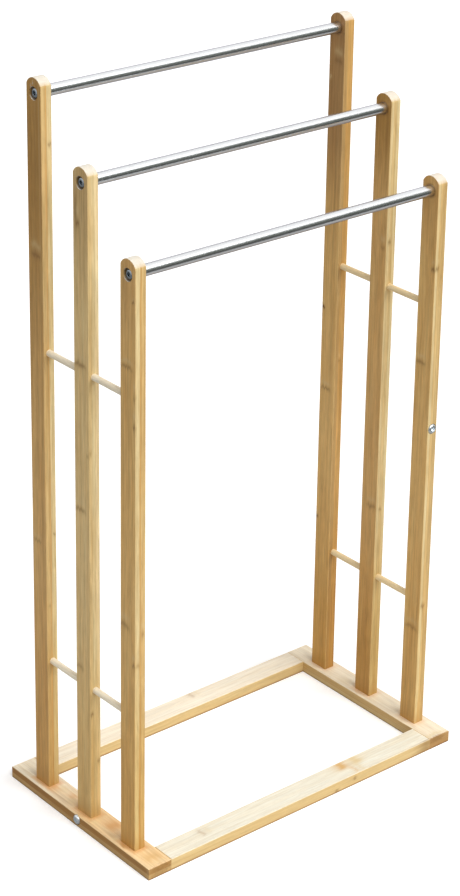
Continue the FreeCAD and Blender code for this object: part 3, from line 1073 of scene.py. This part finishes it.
@dataclass
class Rod:
    """A thin wooden rod from the rear post to the front one, through the middle post."""

    name: str
    edge: float = 0.4
    bevel: float = 0.12
    points: int = 56

    def build(self, finish: Material) -> None:
        """Makes the rod: a straight profile with rounded ends, turned round its axis.

        Args:
            finish: Its wood.
        """
        radius, end = half_size(self.name, 0), half_size(self.name, 1)
        radii = np.array([0, radius - self.edge, radius - self.bevel, radius])
        y = np.array([0, 0, self.bevel, self.edge]) - end
        centre = tuple(middle(self.name, axis) for axis in range(3))
        shell = Shell()
        shell.grid(turned(np.append(radii, radii[::-1]), np.append(y, -y[::-1]), centre, (0, 1, 0),
                          circle(self.points)))
        shell.build(self.name, "rod_wood", finish)


@dataclass
class Bolt:
    """A button-head bolt with a hexagon key socket."""

    seat: Triple
    axis: Triple
    length: float
    shank: float = 6.0
    head: float = 10.5
    head_height: float = 3.0
    rim: float = 0.8
    flat: float = 6.6
    key: float = 4.0
    key_depth: float = 2.0
    key_edge: float = 0.15
    key_floor: float = 0.98
    key_fillet: float = 0.05
    edge: float = 0.2
    point: float = 0.5
    points: int = 48
    crown_steps: int = 8

    def add_to(self, shell: Shell) -> None:
        """Adds the bolt, from the bottom of its key socket over the head to the tip of the shank.

        The hexagon is radius = half key / cos(angle from the nearest flat's middle). The crown of
        the head is a quarter ellipse: radius = flat + (rim - flat) * sin t,
        height = rim + (top - rim) * cos t.

        Args:
            shell: Takes the grid.
        """
        angles, sixth = circle(self.points), np.pi / 3
        hexagon = self.key / 2 / np.cos((angles + sixth / 2) % sixth - sixth / 2)
        top, outer, edge, shank = self.head_height, self.head / 2, self.edge, self.shank / 2
        floor, flat = top - self.key_depth, self.flat / 2
        sweep = np.linspace(0, np.pi / 2, self.crown_steps)
        crown = zip(flat + (outer - flat) * np.sin(sweep), self.rim + (top - self.rim) * np.cos(sweep))
        profile = [(0, floor - self.key_edge), (self.key_floor * hexagon, floor),
                   (hexagon, floor + self.key_fillet), (hexagon, top - self.key_edge),
                   (hexagon + self.key_edge, top), *crown, (outer, edge), (outer - edge, 0),
                   (shank + edge, 0), (shank, -edge), (shank, self.point - self.length),
                   (shank - self.point, -self.length), (0, -self.length)]
        radii = np.stack([np.broadcast_to(radius, angles.shape) for radius, _ in profile])
        shell.grid(turned(radii, [height for _, height in profile], self.seat, self.axis, angles))


@dataclass
class Fastenings:
    """The bolts of the stand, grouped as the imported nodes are."""

    bar_seat: float = 198.0
    bar_length: float = 18.0
    short_length: float = 14.0
    rail_seat: Triple = (-208.6, 2.5, 7.6)
    post_seat: Triple = (195.5, -84.85, 372.0)

    def bolts(self) -> dict[str, list[Bolt]]:
        """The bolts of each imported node."""
        sets = {f"bar_bolts_{row.value}": [
            Bolt((side.value * self.bar_seat, *row.axis), (side.value, 0, 0), self.bar_length)
            for side in Side] for row in Row}
        return sets | {"short_bolts": [Bolt(self.rail_seat, (-1, 0, 0), self.short_length),
                                       Bolt(self.post_seat, (0, -1, 0), self.short_length)]}

    def build(self, zinc: Material, bright: Material) -> None:
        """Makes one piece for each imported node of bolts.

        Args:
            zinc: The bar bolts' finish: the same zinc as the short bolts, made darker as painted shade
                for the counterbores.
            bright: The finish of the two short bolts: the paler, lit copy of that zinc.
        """
        for name, bolts in self.bolts().items():
            shell = Shell()
            for bolt in bolts:
                bolt.add_to(shell)
            shell.build(name, "bolt_zinc", bright if name == "short_bolts" else zinc)


@dataclass
class Uprights:
    """The six posts, the three bars and the four rods between them."""

    recess_height: float = 372.0
    first_seed: float = 1.0
    seed_step: float = 1.37
    contrast: float = 0.85

    def looks(self) -> dict[tuple[Side, Row], tuple]:
        """What each post's bamboo shows, by its side and row.

        Returns:
            The cuts between strips, the strips' tones, the faces' tone, what it turns to and where (a
            darker tone up the faces, as painted shade), the warmth at the foot, and the marks.
        """
        side, front, soot, rust = Mark.side, Mark.front, Tone.SCORCH, Tone.CARAMEL
        return {
            (Side.LEFT, Row.REAR): (
                (-1.4, 0.2), (Tone.WHEAT, Tone.HONEY, Tone.PALE), Tone.HONEY, (Tone.UMBER, 400, 720),
                0.7, [
                    side(-1.0, 614, 11, 5.0, 0.9, 0.2), side(3.0, 300, 9, 2.5, 0.6),
                    front(4.0, 309, 2.0, 1.6, 0.8), front(3.4, 729, 3.0, 3.0, 0.8),
                    front(-2.5, 229, 2.5, 3.0, 0.4), side(-8.6, 420, 1.6, 160, 0.5, 0.0),
                    side(-2.0, 700, 2.2, 60, 0.4, 0.0), side(1.0, 788, 1.5, 1.4, 1.0, 0.0, Tone.CREAM),
                    side(4.5, 786, 1.2, 1.0, 0.9, 0.0, Tone.CREAM)]),
            (Side.LEFT, Row.MIDDLE): (
                (-2.2, 1.6), (Tone.STRAW, Tone.PALE, Tone.LINEN), Tone.BLOND, (Tone.SAND, 560, 680),
                0.6, [
                    side(6.5, 186, 10, 4.0, 0.6), side(3.0, 365, 12, 4.0, 0.8),
                    side(2.0, 522, 13, 4.0, 0.9), side(7.5, 680, 2.6, 22, 0.9, 0.0, soot),
                    side(4.5, 668, 4.0, 6, 0.9, 0.3), side(-9.5, 428, 3, 4, 0.5, 0.1),
                    front(4.0, 79, 3.0, 3.0, 0.7), front(-4.2, 136, 2.6, 3.5, 0.9),
                    front(-4.5, 431, 2.0, 6.0, 0.6, 0.2, rust)]),
            (Side.LEFT, Row.FRONT): (
                (-0.8, 0.8), (Tone.PALE, Tone.GINGER, Tone.WHEAT), Tone.MAIZE, (Tone.HONEY, 540, 620),
                0.8, [
                    side(6.0, 267, 12, 4.5, 0.7), side(1.5, 545, 12, 3.0, 0.8),
                    side(-9.5, 227, 3, 4.0, 0.9), side(-10.0, 485, 2.6, 6.0, 0.9, 0.2),
                    side(-10.2, 516, 2.2, 6.0, 0.7, 0.1), side(-8.2, 613, 2.4, 1.8, 0.7, 0.4),
                    front(-2.6, 227, 3, 5.0, 0.7, 0.2, rust), front(3.2, 260, 2.4, 5.0, 0.8, 0.2, rust),
                    front(4.4, 530, 1.4, 110, 0.7, 0.0, rust)]),
            (Side.RIGHT, Row.REAR): (
                (-1.6, 2.2), (Tone.TAN, Tone.GINGER, Tone.GINGER), Tone.MAIZE, (Tone.DUN, 520, 690),
                0.95, [
                    side(2.0, 364, 11, 3.0, 0.8), side(9.6, 459, 4, 3.0, 0.9, 0.5, soot),
                    side(-3.0, 743, 9, 5.0, 0.8, 0.2), side(9.5, 717, 4, 3.0, 0.9, 0.2, rust),
                    side(9.8, 203, 3, 2.5, 0.8, 0.5), front(0.0, 400, 2.5, 3.0, 0.5),
                    side(-3.0, 600, 1.6, 150, 0.5, 0.0)]),
            (Side.RIGHT, Row.MIDDLE): (
                (-2.4, 2.0), (Tone.PALE, Tone.STRAW, Tone.PALE), Tone.HONEY, (Tone.UMBER, 590, 700),
                0.95, [
                    side(-4.0, 250, 10, 4.0, 0.7), side(-6.5, 555, 5, 5.0, 0.8, 0.2, rust),
                    front(-0.5, 247, 3, 3.0, 0.6, 0.3), front(-2.0, 562, 3, 4.0, 0.7, 0.3)]),
            (Side.RIGHT, Row.FRONT): (
                (-2.6, 0.8), (Tone.PALE, Tone.WHEAT, Tone.SAND), Tone.MAIZE, (Tone.GINGER, 520, 640),
                0.45, [
                    side(0.0, 131, 13, 4.0, 0.7), side(3.5, 446, 10, 3.5, 0.8),
                    side(-9.0, 554, 4, 4.0, 0.6, 0.5, soot), front(-2.0, 160, 4.0, 4.0, 0.8),
                    front(-3.2, 555, 3.6, 4.0, 0.9)]),
        }

    def build(self, steel: Material, rod_wood: Material) -> None:
        """Makes the posts, bars and rods.

        Args:
            steel: The bars' finish.
            rod_wood: The rods' finish.
        """
        for number, ((side, row), look) in enumerate(self.looks().items()):
            cuts, tones, face, turns, warm_foot, marks = look
            recess = self.recess_height if (side, row) == (Side.RIGHT, Row.FRONT) else None
            post = Post(side, row, recess)
            # The crowns' pale end tones, CREAM and BUTTER, are partly the end grain's own tone and partly
            # painted sheen.
            post.build(Bamboo(
                post.name, Grain.UPRIGHT, cuts, tones, face,
                Tone.CREAM if side is Side.LEFT else Tone.BUTTER,
                self.first_seed + number * self.seed_step, self.contrast, marks, turns,
                bore=row.axis[1], front_bore=recess, warm_foot=warm_foot).material())
        for row in Row:
            TowelBar(row).build(steel)
        for side in Side:
            for level in ("lower", "upper"):
                Rod(f"rod_{side.name.lower()}_{level}").build(rod_wood)


@dataclass
class Base:
    """The four rails on the floor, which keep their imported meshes."""

    cross_cuts: tuple[float, float] = (-4.9, -4.8)
    cross_tones: tuple[Tone, Tone, Tone] = (Tone.GINGER, Tone.STRAW, Tone.STRAW)

    def finishes(self) -> list[Bamboo]:
        """The bamboo of each rail."""
        top, (cuts, tones) = Mark.top, (self.cross_cuts, self.cross_tones)
        # The rails' pale face tones, ROSE, SHELL, IVORY and MILK, are partly the boards' own tone and
        # partly painted sheen; the left rail's ROSE is also lightened as painted light against the posts'
        # shadows.
        return [
            Bamboo("side_rail_left", Grain.FRONT_TO_BACK, (-0.6, -0.4),
                   (Tone.TAN, Tone.AMBER, Tone.AMBER), Tone.ROSE, Tone.SAND, 11.3, 0.8, [
                       top(-9.0, 38.0, 3, 24, 0.6, Tone.CARAMEL),
                       top(-8.0, -50.0, 4, 16, 0.6, Tone.CARAMEL),
                       top(3.0, 32.0, 6, 9, 0.9, Tone.PEACH), top(4.0, -36.0, 11, 14, 1.4, Tone.PEACH),
                       top(-9.5, -72.0, 4, 7, 1.1, Tone.RUSSET), top(-4.0, 58.0, 9, 9, 0.8, Tone.PEACH),
                       top(-3.0, 14.0, 8, 6, 0.8, Tone.GINGER), top(2.0, -104.0, 14, 12, 1.2, Tone.HONEY),
                       Mark((0.0, 0.0, -120.0), (12, 26, 3), 0.6, 0.0)],
                   turns=(Tone.SHELL, -10.0, 80.0), end_share=0.15, feet=0.65),
            Bamboo("side_rail_right", Grain.FRONT_TO_BACK, (-0.3, -0.1),
                   (Tone.STRAW, Tone.WHEAT, Tone.WHEAT), Tone.SHELL, Tone.DUN, 12.9, 0.45, [
                       Mark((4.0, -4.0, -120.0), (6, 20, 3), 1.0, 0.0),
                       top(-6.0, 6.0, 8, 12, 0.5, Tone.PEACH)],
                   end_share=0.9, feet=0.3),
            Bamboo("cross_rail_front", Grain.SIDE_TO_SIDE, cuts, tones, Tone.IVORY, Tone.SAND, 14.2,
                   0.45, [
                top(7.0, 68.0, 10, 10, 1.6, Tone.HONEY), top(-6.0, 76.0, 10, 4, 0.8, Tone.HONEY),
                Mark((0.0, -14, 176.0), (12, 3, 18), 1.0, 0.0),
                top(3.5, -127.4, 9, 4, 0.5, Tone.CARAMEL, 0.2),
                Mark((-4.0, -14, 42.8), (3, 3, 3), 0.8), Mark((1.3, -14, 69.9), (3, 3, 3), 0.8)]),
            Bamboo("cross_rail_back", Grain.SIDE_TO_SIDE, cuts, tones, Tone.MILK, Tone.SAND, 15.8,
                   0.45, [
                top(8.7, 31.7, 9, 4, 0.5, Tone.CARAMEL, 0.2)]),
        ]

    def dress(self) -> None:
        """Gives each rail its bamboo."""
        for bamboo in self.finishes():
            dress_node(bamboo.node, bamboo.material())


def dress_node(name: str, finish: Material) -> None:
    """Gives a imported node's object a finish in all its material slots, and leaves its mesh as it is.

    Args:
        name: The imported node.
        finish: The material.
    """
    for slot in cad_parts[name].material_slots:
        slot.link = "OBJECT"
        slot.material = finish
    LOG.info("%s: %s", name, finish.name)


# ---------------- studio


@dataclass
class Studio:
    """A white sweep with soft light from above and in front, and the camera.

    A fade is a smooth step: where it starts and ends, and its value at both.
    """

    floor: tuple[float, float, float, float] = (-3.0, 3.0, -3.0, 4.0)
    floor_points: int = 13
    floor_seen: float = 0.99
    floor_lift: float = 0.25
    floor_mirrored: float = 0.45
    floor_bounce: float = 0.62
    bounce_fade: Fade = (0.5, 1.5, 1.0, 0.3)
    front_fade: Fade = (-0.85, -0.70, 0.12, 1.0)
    left_fade: Fade = (-0.55, -0.30, 0.75, 1.0)
    ambient: float = 0.50
    room: str = "#5a5f59"
    room_front_fade: Fade = (-0.45, -0.15, 1.0, 0.0)
    room_top_fade: Fade = (0.36, 0.52, 1.0, 0.0)
    key: float = 2.51
    key_from: Triple = (0.10, -0.68, 0.72)
    key_size: float = 50.0
    camera_place: Triple = (-1.496265, -1.774401, 1.477017)
    camera_turn: Triple = (39.824, -20.215, 0.877)
    lens: float = 98.811
    sensor: float = 36.0
    shift: float = -0.25
    clip: tuple[float, float] = (0.05, 60.0)

    def _link(self, name: str, data: bpy.types.ID) -> bpy.types.Object:
        """Makes an object and puts it into the scene.

        Args:
            name: Its name.
            data: Its mesh, light or camera.

        Returns:
            The object.
        """
        made = bpy.data.objects.new(name, data)
        bpy.context.scene.collection.objects.link(made)
        return made

    def build_floor(self) -> None:
        """Lays the floor.

        It is white to the camera, and lifted a little there, so that only the stand's near shadow
        shows. Light bounces from a round patch of it round the stand:
        bounce = full * (1 to 0.3 while the distance from the middle goes from 0.5 m to 1.5 m). Metal
        sees it paler under the stand than far in front of it or to the left.
        """
        x0, x1, y0, y1 = self.floor
        x, y = np.meshgrid(np.linspace(x0, x1, self.floor_points), np.linspace(y0, y1, self.floor_points))
        index = np.arange(x.size).reshape(x.shape)
        quads = np.stack([index[:-1, :-1], index[:-1, 1:], index[1:, 1:], index[1:, :-1]], axis=-1)
        points = np.stack([x, y, np.zeros_like(x)], axis=-1)
        mesh = bpy.data.meshes.new("floor")
        mesh.from_pydata(points.reshape(-1, 3).tolist(), [], quads.reshape(-1, 4).tolist())
        material, wire, shader = new_material("floor_paper")
        place = wire.node("TexCoord").outputs["Object"]
        across, back, _ = wire.split(place)
        bounce = wire.times(wire.ease(wire.vector("LENGTH", place), *self.bounce_fade), self.floor_bounce)
        mirrored = wire.times(wire.ease(back, *self.front_fade), self.floor_mirrored)
        mirrored = wire.times(mirrored, wire.ease(across, *self.left_fade))
        path = wire.node("LightPath").outputs
        seen = wire.math("MAXIMUM", path["Is Camera Ray"], path["Is Transmission Ray"])
        shade = wire.blend(seen, wire.blend(path["Is Glossy Ray"], bounce, mirrored), self.floor_seen)
        wire.put(shader, Base_Color=wire.join(shade, shade, shade), Emission_Color=WHITE,
                 Emission_Strength=wire.times(seen, self.floor_lift), Roughness=0.9,
                 Specular_IOR_Level=0.0)
        mesh.materials.append(material)
        self._link("floor", mesh)

    def build_world(self) -> None:
        """A white surround that lights softly; metal also sees the dim room behind the camera."""
        world = bpy.data.worlds.new("surround")
        world.use_nodes = True
        bpy.context.scene.world = world
        wire = Wiring(world.node_tree)
        _, y, z = wire.split(wire.node("TexCoord").outputs["Generated"])
        path = wire.node("LightPath").outputs
        room = wire.times(wire.ease(y, *self.room_front_fade), wire.ease(z, *self.room_top_fade))
        tint = wire.mix(wire.times(room, path["Is Glossy Ray"]), WHITE, linear(self.room))
        seen = wire.math("MAXIMUM", path["Is Camera Ray"],
                         wire.math("MAXIMUM", path["Is Glossy Ray"], path["Is Transmission Ray"]))
        wire.put(world.node_tree.nodes["Background"], Color=tint,
                 Strength=wire.blend(seen, self.ambient, 1.0))

    def build_light(self) -> None:
        """Hangs the key light: a wide soft source, far away."""
        light = bpy.data.lights.new("key", "SUN")
        light.energy, light.angle = self.key, math.radians(self.key_size)
        toward = Vector(self.key_from).to_track_quat("Z", "Y")
        self._link("key", light).rotation_euler = toward.to_euler()

    def build_camera(self) -> None:
        """Places the camera: forward = (sin yaw cos pitch, cos yaw cos pitch, sin pitch), then a roll."""
        yaw, pitch, roll = (math.radians(angle) for angle in self.camera_turn)
        forward = Vector((math.sin(yaw) * math.cos(pitch), math.cos(yaw) * math.cos(pitch),
                          math.sin(pitch)))
        right = Vector((math.cos(yaw), -math.sin(yaw), 0.0))
        up = right.cross(forward)
        across = right * math.cos(roll) + up * math.sin(roll)
        upward = up * math.cos(roll) - right * math.sin(roll)
        camera = bpy.data.cameras.new("camera")
        camera.lens, camera.sensor_width, camera.shift_y = self.lens, self.sensor, self.shift
        camera.clip_start, camera.clip_end = self.clip
        turn = Matrix((across, upward, -forward)).transposed().to_4x4()
        holder = self._link("camera", camera)
        holder.matrix_world = Matrix.Translation(self.camera_place) @ turn
        bpy.context.scene.camera = holder

    def build(self) -> None:
        """Sets up the floor, the surround, the light and the camera."""
        bpy.context.scene.view_settings.view_transform = "Standard"
        self.build_floor()
        self.build_world()
        self.build_light()
        self.build_camera()


def main() -> None:
    """Builds the stand's sub-assemblies in order, then the studio."""
    logging.basicConfig(level=logging.INFO, format="%(name)s %(message)s")
    steel = Worked("satin_steel", "#f0f2f3", (0.02, 3.0, 3.0), 0.25, 0.06, 0.02, "#8f8899")
    # All bolts are one zinc in a shaded and a lit copy; the bar bolts' darker copy is painted shade for
    # their counterbores.
    zinc = Worked("zinc_shaded_copy", "#98a1a8", (1.2, 1.2, 1.2), 0.13, 0.12, 0.03, "#c4ccd2")
    bright = Worked("zinc_lit_copy", "#dfe6ea", (1.2, 1.2, 1.2), 0.36, 0.16, 0.03, "#dfe4e8")
    plastic = Worked("plug_plastic", "#5b5d60", (4.0, 4.0, 4.0), 0.55, 0.15).material()
    Base().dress()
    Uprights().build(steel.material(), RodWood().material())
    Fastenings().build(zinc.material(), bright.material())
    for row in Row:
        dress_node(f"bar_plugs_{row.value}", plastic)
    Studio().build()


if __name__ == "__main__":
    main()
